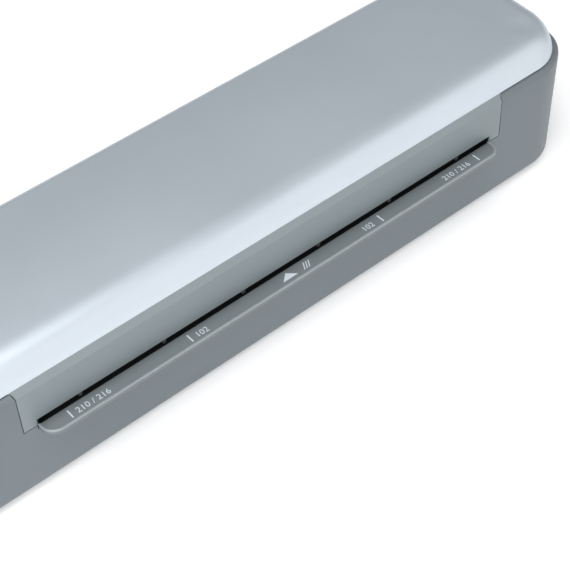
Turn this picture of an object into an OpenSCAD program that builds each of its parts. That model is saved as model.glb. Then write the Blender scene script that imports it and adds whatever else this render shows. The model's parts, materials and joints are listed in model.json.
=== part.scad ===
// Desktop pouch laminator: a hot roller pair and an exit roller pair in a moulded case.
// X runs along the entry slot, -Y is the front, and Z = 0 is the table.

/* [Case] */
// Width of the case, end to end
case_w = 352; // [340:1:430]
// Depth from the lip of the feed shelf to the rear wall
case_d = 90; // [86:1:120]
// Height from the table to the crown of the cover
case_h = 71.8; // [71:0.1:90]
// Radius of the case corners seen from above
corner_r = 24; // [18:1:30]
// Wall thickness of the moulded shells
wall = 2.2; // [1.6:0.1:2.8]
// Gap between the case and the cover at the two ends
cover_gap = 0.7; // [0.4:0.1:1.2]
// Height of the rubber feet below the case
foot_h = 2.5; // [1.5:0.1:4]

/* [Pouch path] */
// Width of the entry slot
slot_w = 240; // [190:1:250]
// Clear height of the entry slot
slot_h = 3; // [2:0.1:3.6]
// Height of the pouch path above the table
path_z = 39.5; // [38:0.1:46]
// Reach of the feed shelf in front of the case
shelf_reach = 9; // [4:0.5:14]
// Spacing of the ribs inside the entry slot
rib_pitch = 40; // [25:1:60]
// Thickness of each rib in the entry slot
rib_w = 1.4; // [1:0.1:2]
// Width of the fascia legs beside the entry slot
leg_w = 6; // [4:0.5:10]

/* [Rollers and drive] */
// Module of every gear, which also sets the roller diameters
gear_module = 1; // [0.85:0.01:1.1]
// Gap between the two rollers of a pair
nip = 0.3; // [0.1:0.05:0.5]
// Shaft radius of the hot rollers
hot_shaft_r = 4; // [3:0.1:4.5]
// Shaft radius of the exit rollers
exit_shaft_r = 3; // [2.5:0.1:3.5]
// Radial running clearance of every bearing
bearing_gap = 0.05; // [0.02:0.01:0.1]
// Face width of the gears
gear_w = 8; // [5:0.5:10]
// Lift of the upper rollers when the release lever is pulled
lift = 2; // [1:0.1:2.2]
// Radius of the motor can
motor_r = 22; // [16:0.5:24]

/* [Controls] */
// Width of the control panel opening
panel_w = 28; // [26:1:32]
// Depth of the control panel opening
panel_d = 46; // [44:1:50]
// Swing of the release lever
lever_swing = 40; // [20:1:44]

/* [Hidden] */
$fn = 64;
eps = 0.01;
fit = 0.1;

// Case outline
half_w = case_w / 2;
rear_y = case_d / 2;
front_y = -case_d / 2 + shelf_reach;
front_lean = 2.7;
foot_of_wall_y = front_y - front_lean + 0.2;
bottom_r = 4;
floor_z = foot_h + wall;
cover_inset = 2.5;
cover_front_y = front_y + cover_inset + 0.2;
bevel = 2.5;
roll_r = 14.8;
rear_roll_r = 7;
end_roll_r = 12;
// The crown flattens as the case gets deeper, so that its rear edge keeps its height
crown_r = 280 * pow(case_d / 90, 2);
roll_start = 164;
roll_end = 95;
roll_c = [cover_front_y - roll_r * cos(roll_start),
    case_h - crown_r + (crown_r - roll_r) * sin(roll_end)];
crown_c = [roll_c[0] - (crown_r - roll_r) * cos(roll_end), case_h - crown_r];
rear_edge_y = rear_y - 0.4;
crown_end = acos((rear_edge_y - rear_roll_r - crown_c[0]) / (crown_r - rear_roll_r));
rear_roll_c = crown_c + (crown_r - rear_roll_r) * [cos(crown_end), sin(crown_end)];
part_z = roll_c[1] + roll_r * sin(roll_start);
face_top_z = part_z - bevel;
slot_bottom_z = path_z - slot_h / 2;
slot_top_z = path_z + slot_h / 2;
fascia_half = slot_w / 2 + leg_w;
rib_count = floor(slot_w / rib_pitch);

// Rollers and gears
hot_teeth = 20;
exit_teeth = 16;
idler_teeth = 16;
pinion_teeth = 12;
backlash = 0.1;
pressure_angle = 25;
hot_pitch = hot_teeth * gear_module;
exit_pitch = exit_teeth * gear_module;
hot_r = (hot_pitch - nip) / 2;
exit_r = (exit_pitch - nip) / 2;
hot_y = front_y + 30;
hot_lo = [hot_y, path_z - hot_pitch / 2];
hot_hi = [hot_y, path_z + hot_pitch / 2];
idler_angle = -14.7;
idler_arm = (hot_teeth + idler_teeth) / 2 * gear_module;
idler = hot_lo + idler_arm * [cos(idler_angle), sin(idler_angle)];
exit_lo_z = path_z - exit_pitch / 2;
exit_arm = (idler_teeth + exit_teeth) / 2 * gear_module;
exit_y = idler[0] + sqrt(exit_arm * exit_arm - (exit_lo_z - idler[1]) * (exit_lo_z - idler[1]));
exit_lo = [exit_y, exit_lo_z];
exit_hi = [exit_y, path_z + exit_pitch / 2];
pinion = idler + [0, (idler_teeth + pinion_teeth) / 2 * gear_module];

// Stations along X
sleeve_half = slot_w / 2;
plate_t = 1.5;
carriage_x = sleeve_half + 4.2;
frame_x = sleeve_half + 7.25;
frame_out_x = frame_x + plate_t;
gear_x = frame_out_x + 2.75;
shaft_end_x = gear_x + gear_w + 1;
motor_x = gear_x + gear_w + 4.5;
motor_len = 18;
motor_shaft_r = 3;

// Release shaft, cams and lever
release_r = 2.5;
release = [hot_y + 16, hot_hi[1] + 9];
cam_r = 4;
cam_throw = 2.8;
cam_gap = 0.15;
lever_rest = lever_swing / 2;

// Frame plates
frame_front_y = hot_y - 20;
frame_rear_y = exit_y + 12;
frame_foot_z = floor_z + 1.3;
frame_top_z = release[1] + 7.5;
guide_r = 1.8;
guide_low = [release[0] - 1, path_z + 6.5];
guide_high = [hot_y, hot_hi[1] + 11];
wire_hole = [release[0] + 10, floor_z + 6];
wire_hole_r = 3.2;

// Heater shoes
shoe_in_r = hot_r + 0.75;
shoe_out_r = shoe_in_r + 3;
shoe_edge = 4.6;
shoe_pad_w = 16;
shoe_pad_h = 1.2;
strip_t = 1.6;

// Control panel
panel_x = -(half_w - 30);
panel_y = release[0];
panel_t = 1.6;
panel_z = case_h - 4.2;
panel_rim = 1.2;
lever_x = panel_x - 5;
switch_x = panel_x + 7.2;
switch_y = release[0] + 12;
rocker_pivot_z = panel_z - 1.6;
led_y = [release[0] - 10, release[0] - 16.5];

// Posts and feet
post_x = half_w - 13;
post_y = [front_y + 10, rear_y - 10.5];
post_r = 3.5;
screw_r = 1.5;
boss_top_z = floor_z + 7.3;
foot_x = half_w - 31;
foot_y = [front_y + 12, rear_y - 12];
foot_r = 7;
gland = [-(half_w - 32), floor_z + 13];
gland_r = 3.4;

// ---- Shared shapes ----

// Points of an arc from angle a to angle b
function arc(c, r, a, b, n) =
    [for (i = [0:n]) let (t = a + (b - a) * i / n) c + r * [cos(t), sin(t)]];

// A cylinder whose axis runs along X, from x0 to x1, centred on a [y, z] point
module rod(p, r, x0, x1) {
    translate([x0, p[0], p[1]]) rotate([90, 0, 90]) cylinder(r = r, h = x1 - x0);
}

// A [y, z] outline drawn out along X
module along_x(x0, x1) {
    translate([x0, 0, 0]) rotate([90, 0, 90]) linear_extrude(x1 - x0) children();
}

// Both ends of the machine, by reflection
module both_ends() {
    children();
    mirror([1, 0, 0]) children();
}

// A rectangle with true round corners
module round_rect(x0, x1, y0, y1, r) {
    translate([x0 + r, y0]) square([x1 - x0 - 2 * r, y1 - y0]);
    translate([x0, y0 + r]) square([x1 - x0, y1 - y0 - 2 * r]);
    for (x = [x0 + r, x1 - r], y = [y0 + r, y1 - r]) translate([x, y]) circle(r);
}

// Seen from above: the case outline pulled in by d
module plan(d) {
    round_rect(-half_w + d, half_w - d, foot_of_wall_y + d, rear_y - d, corner_r - d);
}

// ---- Case ----

module case_side(d, top) {
    y0 = foot_of_wall_y + d;
    y1 = rear_y - d;
    z0 = foot_h + d;
    r = bottom_r - min(d, bottom_r - 1);
    polygon(concat(arc([y0 + r, z0 + r], r, 180, 270, 6), arc([y1 - r, z0 + r], r, 270, 360, 6),
        [[y1, top], [y0 + front_lean, top]]));
}

module case_front(d, top) {
    x1 = half_w - d;
    z0 = foot_h + d;
    r = bottom_r - min(d, bottom_r - 1);
    polygon(concat(arc([-x1 + r, z0 + r], r, 180, 270, 6), arc([x1 - r, z0 + r], r, 270, 360, 6),
        [[x1, top], [-x1, top]]));
}

module case_solid(d, top) {
    intersection() {
        translate([0, 0, foot_h]) linear_extrude(case_h) plan(d);
        along_x(-half_w, half_w) case_side(d, top);
        translate([0, rear_y, 0]) rotate([90, 0, 0]) linear_extrude(case_d) case_front(d, top);
    }
}

module vent_row(count, pitch, length) {
    for (i = [0:count - 1]) translate([(i - (count - 1) / 2) * pitch, 0, 0])
        cube([2.4, length, 3 * wall], center = true);
}

module lower_case() {
    color("#8a9397") difference() {
        union() {
            difference() {
                case_solid(0, part_z - cover_gap);
                case_solid(wall, case_h);
            }
            // Ledge under the cover's edge at the front corners
            intersection() {
                difference() {
                    case_solid(wall / 2, part_z - cover_gap);
                    translate([0, 0, -1]) linear_extrude(case_h) plan(wall + 4);
                }
                both_ends() translate([fascia_half + 1, foot_of_wall_y - 1, part_z - cover_gap - 2])
                    cube([half_w, 9.5, 3]);
            }
            for (x = [-post_x, post_x], y = post_y) translate([x, y, floor_z - eps])
                cylinder(r = post_r, h = boss_top_z - floor_z + eps);
            both_ends() for (y = [frame_front_y + 6, frame_rear_y - 6])
                translate([frame_out_x + 5, y, floor_z - eps])
                    cylinder(r = 4, h = frame_foot_z - floor_z + eps);
            for (x = board_holes_x, y = board_holes_y) translate([x, y, floor_z - eps])
                cylinder(r = 2, h = board_z - floor_z + eps);
        }
        // Fascia opening and the notch for the feed shelf
        translate([-fascia_half - fit, foot_of_wall_y - 1, slot_bottom_z - fit])
            cube([2 * (fascia_half + fit), 9, case_h]);
        translate([-slot_w / 2 - fit, foot_of_wall_y - 1, slot_bottom_z - 2.6])
            cube([slot_w + 2 * fit, 9, 10]);
        // Exit opening
        translate([-slot_w / 2 - 4, rear_y - 2 * wall, path_z - 5]) cube([slot_w + 8, 3 * wall, 10]);
        // Screw holes and head recesses
        for (x = [-post_x, post_x], y = post_y) {
            translate([x, y, foot_h - 1]) cylinder(r = screw_r + 0.25, h = boss_top_z);
            translate([x, y, foot_h - 1]) cylinder(r = 3.4, h = 3);
        }
        both_ends() for (y = [frame_front_y + 6, frame_rear_y - 6])
            translate([frame_out_x + 5, y, foot_h - 1]) cylinder(r = screw_r, h = 20);
        // Foot recesses
        for (x = [-foot_x, foot_x], y = foot_y) translate([x, y, foot_h - 1])
            cylinder(r = foot_r + fit, h = 1.8);
        // Cord gland
        translate([gland[0], rear_y + 1, gland[1]]) rotate([90, 0, 0]) cylinder(r = 5.5, h = 3 * wall);
        // Air vents under the case and low in the rear wall
        for (y = [hot_y, exit_y - 6]) translate([0, y, foot_h]) vent_row(14, 14, 16);
        translate([0, rear_y, floor_z + 10]) rotate([90, 0, 0]) vent_row(20, 9, 12);
    }
}

// ---- Cover ----

// The outline is closed below the parting line when it is pulled in, so that it cuts the cover open
function cover_base_z(d) = part_z - (d > 0 ? 2 : 0);

function cover_side(d) = concat(
    [[cover_front_y + d, cover_base_z(d)]],
    arc(roll_c, roll_r - d, roll_start, roll_end, 9),
    arc(crown_c, crown_r - d, roll_end - 1, crown_end, 12),
    arc(rear_roll_c, rear_roll_r - d, crown_end - 8, 0, 7),
    [[rear_edge_y - d, cover_base_z(d)]]);

function cover_end(d) = concat(
    [[-half_w + 2 + d, cover_base_z(d)]],
    arc([-half_w + 2 + end_roll_r, case_h - end_roll_r], end_roll_r - d, 180, 90, 8),
    arc([half_w - 2 - end_roll_r, case_h - end_roll_r], end_roll_r - d, 90, 0, 8),
    [[half_w - 2 - d, cover_base_z(d)]]);

module cover_solid(d) {
    intersection() {
        translate([0, 0, part_z - 5]) linear_extrude(case_h)
            round_rect(-half_w + 2 + d, half_w - 2 - d, cover_front_y + d, rear_edge_y - d,
                corner_r - 2 - d);
        along_x(-half_w, half_w) polygon(cover_side(d));
        translate([0, rear_y, 0]) rotate([90, 0, 0]) linear_extrude(case_d) polygon(cover_end(d));
    }
}

module panel_opening(d, z0, h) {
    translate([0, 0, z0]) linear_extrude(h)
        round_rect(panel_x - panel_w / 2 - d, panel_x + panel_w / 2 + d,
            panel_y - panel_d / 2 - d, panel_y + panel_d / 2 + d, 4 + d);
}

module top_cover() {
    tongue = wall + 0.25;
    color("#b4bec8") difference() {
        union() {
            difference() {
                cover_solid(0);
                cover_solid(wall);
            }
            // Locating tongue that drops inside the case walls
            difference() {
                intersection() {
                    translate([0, 0, part_z - 4]) linear_extrude(5.5) plan(tongue);
                    translate([-half_w, cover_front_y + 8, 0]) cube([case_w, case_d, case_h]);
                }
                translate([0, 0, part_z - 5]) linear_extrude(8) plan(tongue + 1.6);
            }
            // Screw posts
            for (x = [-post_x, post_x], y = post_y) {
                translate([x, y, boss_top_z]) cylinder(r = post_r, h = part_z - boss_top_z);
                intersection() {
                    translate([x, y, part_z - 1]) cylinder(r = post_r, h = case_h);
                    cover_solid(wall / 2);
                }
            }
        }
        for (x = [-post_x, post_x], y = post_y) translate([x, y, boss_top_z - 1])
            cylinder(r = screw_r, h = 15);
        panel_opening(0, part_z, 20);
    }
}

// ---- Front ----

function face_y(z) = foot_of_wall_y + front_lean * (z - foot_h) / (part_z - cover_gap - foot_h);

function fascia_side(z0) = [[face_y(z0), z0], [face_y(face_top_z), face_top_z], [cover_front_y, part_z],
    [cover_front_y + wall, part_z], [face_y(face_top_z) + wall + 0.4, face_top_z - 0.8],
        [face_y(z0) + wall, z0]];

module front_fascia() {
    color("#8f999d") {
        along_x(-fascia_half, fascia_half) polygon(fascia_side(slot_top_z));
        both_ends() along_x(slot_w / 2, fascia_half) polygon(fascia_side(slot_bottom_z));
    }
}

module feed_shelf() {
    lip_y = -case_d / 2;
    guide_y = hot_y - 8.5;
    z = slot_bottom_z;
    color("#80898d") difference() {
        along_x(-slot_w / 2, slot_w / 2) polygon(concat(
            [[guide_y, z + 0.3], [guide_y, z - 1.2], [front_y + 4, z - 1.6], [front_y, z - 2.6]],
            arc([lip_y + 1.6, z - 1], 1.6, 250, 100, 8)));
        // Rounded outer corners of the lip
        both_ends() translate([slot_w / 2 - 5, lip_y + 5, z - 10]) difference() {
            translate([0, -6, 0]) cube([6, 6, 20]);
            cylinder(r = 5, h = 20);
        }
    }
}

module upper_entry_guide() {
    z = slot_top_z;
    color("#33383b") {
        along_x(-slot_w / 2, slot_w / 2)
            polygon([[front_y + 2.4, z], [hot_y - 8.5, z - 0.5], [hot_y - 8.5, z + 1],
            [front_y + 6, z + 1.6], [front_y + 2.4, z + 5]]);
        for (i = [0:rib_count - 1]) let (x = (i - (rib_count - 1) / 2) * rib_pitch)
            along_x(x - rib_w / 2, x + rib_w / 2)
            polygon([[front_y - 0.5, z - 0.15], [front_y - 0.5, z - 2.2], [front_y + 3, z - 2.2],
                [hot_y - 8.5, z - 1.3], [hot_y - 8.5, z - 0.2], [front_y + 3, z + 0.3],
                    [front_y + 2.4, z - 0.15]]);
    }
}

// ---- Rear ----

module exit_bezel() {
    flange = 2.5;
    color("#4a5054") difference() {
        union() {
            translate([-slot_w / 2 - 4 + fit, rear_y - wall - 1.5, path_z - 5 + fit])
                cube([slot_w + 8 - 2 * fit, wall + 1.5, 10 - 2 * fit]);
            translate([-slot_w / 2 - 4 - flange, rear_y - wall - 2.5, path_z - 5 - flange])
                cube([slot_w + 8 + 2 * flange, 2.5, 10 + 2 * flange]);
        }
        translate([-slot_w / 2, rear_y - 10, path_z - 2.5]) cube([slot_w, 20, 5]);
    }
}

module exit_guide() {
    y0 = exit_y + exit_r - 1.4;
    y1 = rear_y - wall - 2.5;
    color("#4a5054") along_x(-slot_w / 2 + 1, slot_w / 2 - 1)
        polygon([[y0, path_z - 1.4], [y1, path_z - 2.5], [y1, path_z - 5], [y1 - 1.4, path_z - 4.4],
            [y1 - 1.6, path_z - 3.8], [y0, path_z - 2.4]]);
}

module mid_guide() {
    y0 = hot_y + hot_r - 0.4;
    y1 = exit_y - exit_r + 1.2;
    color("#9aa0a4") {
        along_x(-slot_w / 2 + 3, slot_w / 2 - 3)
            polygon([[y0, path_z - 2.4], [y0, path_z - 1.2], [y1, path_z - 1.2], [y1, path_z - 2.4]]);
        translate([-frame_x, (y0 + y1) / 2 - 3, path_z - 3.4]) cube([2 * frame_x, 6, 1]);
    }
}

// ---- Frames ----

function frame_outline() = [[frame_front_y, frame_foot_z], [frame_rear_y, frame_foot_z],
    [frame_rear_y, frame_top_z - 6], [frame_rear_y - 6, frame_top_z],
    [frame_front_y + 10, frame_top_z], [frame_front_y, frame_top_z - 10]];

// A slot in a frame plate that lets a round part of radius r rise by the lift
module rise_slot(p, r) {
    rod(p, r, frame_x - 1, frame_out_x + 1);
    rod(p + [0, lift + 0.2], r, frame_x - 1, frame_out_x + 1);
    translate([frame_x - 1, p[0] - r, p[1]]) cube([plate_t + 2, 2 * r, lift + 0.2]);
}

module side_frame() {
    difference() {
        union() {
            along_x(frame_x, frame_out_x) polygon(frame_outline());
            // Foot flange and spring tab
            translate([frame_x, frame_front_y, frame_foot_z])
                cube([plate_t + 10, frame_rear_y - frame_front_y, plate_t]);
            translate([frame_x - 7, release[0] + 9, frame_top_z - plate_t]) cube([7 + eps, 8, plate_t]);
        }
        rod(hot_lo, hot_shaft_r + 2, frame_x - 1, frame_out_x + 1);
        rod(exit_lo, exit_shaft_r + 2, frame_x - 1, frame_out_x + 1);
        rise_slot(hot_hi, hot_shaft_r + 0.6);
        rise_slot(exit_hi, exit_shaft_r + 0.6);
        rise_slot(guide_low, guide_r + bearing_gap);
        rise_slot(guide_high, guide_r + bearing_gap);
        rod(release, release_r + bearing_gap, frame_x - 1, frame_out_x + 1);
        rod(wire_hole, wire_hole_r, frame_x - 1, frame_out_x + 1);
        for (p = tie_points) rod(p, screw_r, frame_x - 1, frame_out_x + 1);
        for (y = [frame_front_y + 6, frame_rear_y - 6])
            translate([frame_out_x + 5, y, frame_foot_z - 1]) cylinder(r = screw_r, h = 5);
    }
}

module left_side_frame() {
    color("#b9bdbf") mirror([1, 0, 0]) side_frame();
}

module right_side_frame() {
    color("#b9bdbf") difference() {
        side_frame();
        for (y = motor_ear_y) rod([y, motor_z], screw_r, frame_x - 1, frame_out_x + 1);
        rod(idler, 2, frame_x - 1, frame_out_x + 1);
    }
}

tie_points = [[frame_front_y + 4, floor_z + 7], [frame_rear_y - 4, floor_z + 15],
    [frame_rear_y - 3.8, frame_top_z - 7.5]];
tie_r = 3;

module tie_bars() {
    color("#a9adaf") for (p = tie_points) difference() {
        rod(p, tie_r, -frame_x, frame_x);
        both_ends() rod(p, screw_r, frame_x - 8, frame_x + 1);
    }
}

module frame_screws() {
    color("#8c8f91") both_ends() {
        for (p = tie_points) {
            rod(p, screw_r, frame_x - 6, frame_out_x);
            rod(p, 2.8, frame_out_x, frame_out_x + 1.8);
        }
        for (y = [frame_front_y + 6, frame_rear_y - 6]) translate([frame_out_x + 5, y, 0]) {
            translate([0, 0, foot_h + 0.5])
                cylinder(r = screw_r, h = frame_foot_z + plate_t - foot_h - 0.5);
            translate([0, 0, frame_foot_z + plate_t]) cylinder(r = 2.8, h = 1.8);
        }
    }
}

// ---- Heating ----

// A curved shoe over half of a hot roller; side is 1 above the roller and -1 below it
module shoe(p, side, end_x) {
    difference() {
        union() {
            rod(p, shoe_out_r, -slot_w / 2 + 4, slot_w / 2 - 4);
            translate([-slot_w / 2 + 4, p[0] - shoe_pad_w / 2,
                p[1] + (side > 0 ? 0 : -shoe_out_r - shoe_pad_h)])
                cube([slot_w - 8, shoe_pad_w, shoe_out_r + shoe_pad_h]);
            translate([-end_x, p[0] - 4, p[1] + side * (shoe_out_r - 1) - 1]) cube([2 * end_x, 8, 2]);
        }
        rod(p, shoe_in_r, -slot_w / 2, slot_w / 2);
        translate([-slot_w, p[0] - 30, p[1] + side * shoe_edge - (side > 0 ? 60 : 0)])
            cube([2 * slot_w, 60, 60]);
    }
}

module lower_heater_shoe() {
    color("#c9ccce") shoe(hot_lo, -1, frame_x);
}

module upper_heater_shoe() {
    color("#c9ccce") shoe(hot_hi, 1, carriage_x);
}

module heater_strip(z) {
    translate([-slot_w / 2 + 10, hot_y - 7, z]) cube([slot_w - 20, 14, strip_t]);
}

module lower_heater_strip() {
    color("#b5651d") heater_strip(hot_lo[1] - shoe_out_r - shoe_pad_h - strip_t);
}

module upper_heater_strip() {
    color("#b5651d") heater_strip(hot_hi[1] + shoe_out_r + shoe_pad_h);
}

module thermostat() {
    z = hot_lo[1] - shoe_out_r - shoe_pad_h - strip_t;
    color("#d8d2c4") {
        translate([45, hot_y, z - 4.5]) cylinder(r = 7, h = 4.5);
        for (x = [-4, 4]) translate([45 + x - 0.4, hot_y - 2, z - 7.5]) cube([0.8, 4, 3]);
    }
}

module thermal_fuse() {
    z = hot_lo[1] - shoe_out_r - shoe_pad_h - strip_t;
    color("#d9c27a") {
        rod([hot_y, z - 2], 2, -52, -40);
        rod([hot_y, z - 2], 0.5, -60, -32);
    }
}

// ---- Rollers ----

module bush(p, r, x) {
    difference() {
        union() {
            rod(p, r + 2, x - 1, x + plate_t + 1.2);
            rod(p, r + 3.4, x - 1, x);
        }
        rod(p, r + bearing_gap, x - 2, x + 6);
    }
}

module lower_roller_bushings() {
    color("#e3dccb") both_ends() {
        bush(hot_lo, hot_shaft_r, frame_x);
        bush(exit_lo, exit_shaft_r, frame_x);
    }
}

module upper_roller_bushings() {
    color("#e3dccb") both_ends() {
        bush(hot_hi, hot_shaft_r, carriage_x);
        bush(exit_hi, exit_shaft_r, carriage_x);
    }
}

module sleeve(p, r, shaft_r) {
    difference() {
        rod(p, r, -sleeve_half, sleeve_half);
        rod(p, shaft_r, -sleeve_half - 1, sleeve_half + 1);
    }
}

module shaft(p, r) {
    rod(p, r, -frame_out_x - 3, shaft_end_x);
}

// ---- Gears ----

function involute(a) = tan(a) * 180 / PI - a;

// Half of a tooth's angle at radius r, for a gear of n teeth
function tooth_half(n, r) = let (rp = n * gear_module / 2, rb = rp * cos(pressure_angle),
    a = r > rb ? acos(rb / r) : 0)
    90 / n - backlash / rp * 90 / PI + involute(pressure_angle) - involute(a);

function tooth(n, turn) = let (rp = n * gear_module / 2, root = rp - 1.25 * gear_module,
    tip = rp + 0.95 * gear_module, base = max(root, rp * cos(pressure_angle)), steps = 5)
    concat([for (i = [-1:steps])
        let (r = i < 0 ? root : base + (tip - base) * i / steps, h = tooth_half(n, r))
            r * [cos(turn - h), sin(turn - h)]],
        [for (i = [steps:-1:-1])
            let (r = i < 0 ? root : base + (tip - base) * i / steps, h = tooth_half(n, r))
            r * [cos(turn + h), sin(turn + h)]]);

module gear(p, n, bore, phase) {
    difference() {
        along_x(gear_x, gear_x + gear_w) translate(p)
            polygon([for (i = [0:n - 1]) each tooth(n, phase + i * 360 / n)]);
        rod(p, bore, gear_x - 1, gear_x + gear_w + 1);
    }
}

// Phase that meshes gear b with gear a, when b lies from a at the angle dir
function mesh_phase(na, phase_a, nb, dir) = dir + 180 - (0.5 - (dir - phase_a) * na / 360) * 360 / nb;
function bearing_of(a, b) = atan2(b[1] - a[1], b[0] - a[0]);

hot_hi_phase = mesh_phase(hot_teeth, 0, hot_teeth, 90);
idler_phase = mesh_phase(hot_teeth, 0, idler_teeth, idler_angle);
exit_lo_phase = mesh_phase(idler_teeth, idler_phase, exit_teeth, bearing_of(idler, exit_lo));
exit_hi_phase = mesh_phase(exit_teeth, exit_lo_phase, exit_teeth, 90);
pinion_phase = mesh_phase(idler_teeth, idler_phase, pinion_teeth, 90);

module lower_hot_sleeve() { color("#c0572f") sleeve(hot_lo, hot_r, hot_shaft_r); }
module lower_hot_shaft() { color("#a5a9ab") shaft(hot_lo, hot_shaft_r); }
module lower_hot_gear() { color("#ece6d4") gear(hot_lo, hot_teeth, hot_shaft_r, 0); }
module upper_hot_sleeve() { color("#c0572f") sleeve(hot_hi, hot_r, hot_shaft_r); }
module upper_hot_shaft() { color("#a5a9ab") shaft(hot_hi, hot_shaft_r); }
module upper_hot_gear() { color("#ece6d4") gear(hot_hi, hot_teeth, hot_shaft_r, hot_hi_phase); }
module lower_exit_sleeve() { color("#4c4f52") sleeve(exit_lo, exit_r, exit_shaft_r); }
module lower_exit_shaft() { color("#a5a9ab") shaft(exit_lo, exit_shaft_r); }
module lower_exit_gear() { color("#ece6d4") gear(exit_lo, exit_teeth, exit_shaft_r, exit_lo_phase); }
module upper_exit_sleeve() { color("#4c4f52") sleeve(exit_hi, exit_r, exit_shaft_r); }
module upper_exit_shaft() { color("#a5a9ab") shaft(exit_hi, exit_shaft_r); }
module upper_exit_gear() { color("#ece6d4") gear(exit_hi, exit_teeth, exit_shaft_r, exit_hi_phase); }
module idler_gear() { color("#ece6d4") gear(idler, idler_teeth, motor_shaft_r + bearing_gap,
    idler_phase); }

module idler_stud() {
    color("#a5a9ab") {
        rod(idler, 2, frame_x, frame_out_x + eps);
        rod(idler, motor_shaft_r, frame_out_x, gear_x + gear_w + 0.6);
        rod(idler, motor_shaft_r + 1.5, gear_x + gear_w + 0.6, gear_x + gear_w + 1.6);
        rod(idler, motor_shaft_r + 1.5, frame_out_x, gear_x - 0.3);
    }
}

// ---- Motor ----

motor_z = path_z;
motor_y = pinion[0] - 5.4;
motor_screw_head_r = 2.8;
// Both ears stand clear of the can and of the exit gears
exit_gear_reach = exit_pitch / 2 + gear_module + motor_screw_head_r + 0.6;
clear_of_gears = exit_y + sqrt(pow(exit_gear_reach, 2) - pow(exit_pitch / 2, 2)) - motor_y;
motor_ear_reach = max(motor_r + 8, clear_of_gears);
motor_ear_y = [motor_y - motor_ear_reach, motor_y + motor_ear_reach];

module motor_pinion() {
    color("#c9a85a") {
        gear(pinion, pinion_teeth, motor_shaft_r, pinion_phase);
        rod(pinion, motor_shaft_r, gear_x, motor_x + 5);
    }
}

module drive_motor() {
    color("#7f868b") difference() {
        union() {
            rod([motor_y, motor_z], motor_r, motor_x + 1.2, motor_x + 1.2 + motor_len);
            rod([motor_y, motor_z], motor_r - 0.5, motor_x, motor_x + 1.3);
            along_x(motor_x, motor_x + 1.2) {
                translate([motor_ear_y[0], motor_z - 4]) square([motor_ear_y[1] - motor_ear_y[0], 8]);
                for (y = motor_ear_y) translate([y, motor_z]) circle(4);
            }
        }
        rod(pinion, motor_shaft_r + bearing_gap, motor_x - 1, motor_x + 6);
        for (y = motor_ear_y) rod([y, motor_z], screw_r, motor_x - 1, motor_x + 3);
    }
}

module motor_standoffs() {
    color("#c8b06a") for (y = motor_ear_y) difference() {
        rod([y, motor_z], 2.4, frame_out_x, motor_x);
        rod([y, motor_z], screw_r, frame_out_x - 1, motor_x + 1);
    }
}

module motor_screws() {
    color("#8c8f91") for (y = motor_ear_y) {
        rod([y, motor_z], screw_r, frame_x, motor_x + 1.2);
        rod([y, motor_z], motor_screw_head_r, motor_x + 1.2, motor_x + 3);
    }
}

// ---- Carriage that carries both upper rollers ----

spring_y = release[0] + 13;
spring_foot_z = release[1] - 1.5;

function carriage_outline() = [[hot_y - 9, path_z + 3.4], [exit_y + 7, path_z + 2.2],
    [exit_y + 7, path_z + 13],
    [spring_y + 4, spring_foot_z], [spring_y - 5, spring_foot_z],
        [release[0] + 9, release[1] + cam_r + 3],
    [hot_y - 3, release[1] + cam_r + 3], [hot_y - 9, hot_hi[1] + 8]];

module carriage_plates() {
    window_y0 = release[0] - cam_r - 0.8;
    window_y1 = release[0] + cam_throw + cam_r + 1;
    window_z0 = release[1] - cam_r - lift - 0.4;
    window_z1 = release[1] + cam_r + cam_gap;
    color("#9da2a5") both_ends() {
        difference() {
            along_x(carriage_x, carriage_x + plate_t) polygon(carriage_outline());
            rod(hot_hi, hot_shaft_r + 2, carriage_x - 1, carriage_x + 3);
            rod(exit_hi, exit_shaft_r + 2, carriage_x - 1, carriage_x + 3);
            translate([carriage_x - 1, window_y0, window_z0])
                cube([3.5, window_y1 - window_y0, window_z1 - window_z0]);
        }
        for (p = [guide_low, guide_high]) rod(p, guide_r, carriage_x + plate_t - eps, frame_out_x + 1.2);
    }
}

module pressure_springs() {
    wire = 0.5;
    coil_r = 2.3;
    turns = 5;
    tab_z = frame_top_z - plate_t;
    pitch = (tab_z - spring_foot_z - 2 * wire) / (turns - 1);
    color("#c3c7c9") both_ends() for (i = [0:turns - 1])
        translate([carriage_x + 0.05, spring_y, spring_foot_z + wire + i * pitch])
            rotate_extrude() translate([coil_r, 0]) circle(wire, $fn = 16);
}

// ---- Release ----

module release_shaft() {
    color("#a5a9ab") rod(release, release_r, lever_x - 3, frame_out_x + 1.2);
}

module release_cams() {
    color("#ece6d4") both_ends() difference() {
        union() {
            rod(release, cam_r, carriage_x - 1.2, carriage_x + plate_t + 0.6);
            rod(release + [cam_throw, 0], cam_r, carriage_x - 0.8, carriage_x + plate_t + 0.4);
        }
        rod(release, release_r, carriage_x - 2, carriage_x + plate_t + 2);
    }
}

module release_lever() {
    tip = case_h - 0.5 - release[1];
    knob_t = 2.8;
    knob_gap = 0.57;
    // Measured along the tilted arm, so that the knob's lower edge clears the panel
    neck_top = (panel_z - release[1] + knob_gap + knob_t / 2 * sin(lever_rest)) / cos(lever_rest);
    color("#3a4044") difference() {
        union() {
            rod(release, release_r + 2, lever_x - 2.5, lever_x + 2.5);
            translate([lever_x, release[0], release[1]]) rotate([-lever_rest, 0, 0]) {
                translate([-2, -1.3, 0]) cube([4, 2.6, neck_top + 0.5]);
                translate([-4.6, -knob_t / 2, neck_top]) cube([9.2, knob_t, tip - neck_top - 0.4]);
            }
        }
        rod(release, release_r, lever_x - 4, lever_x + 4);
    }
}

// ---- Controls ----

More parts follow.
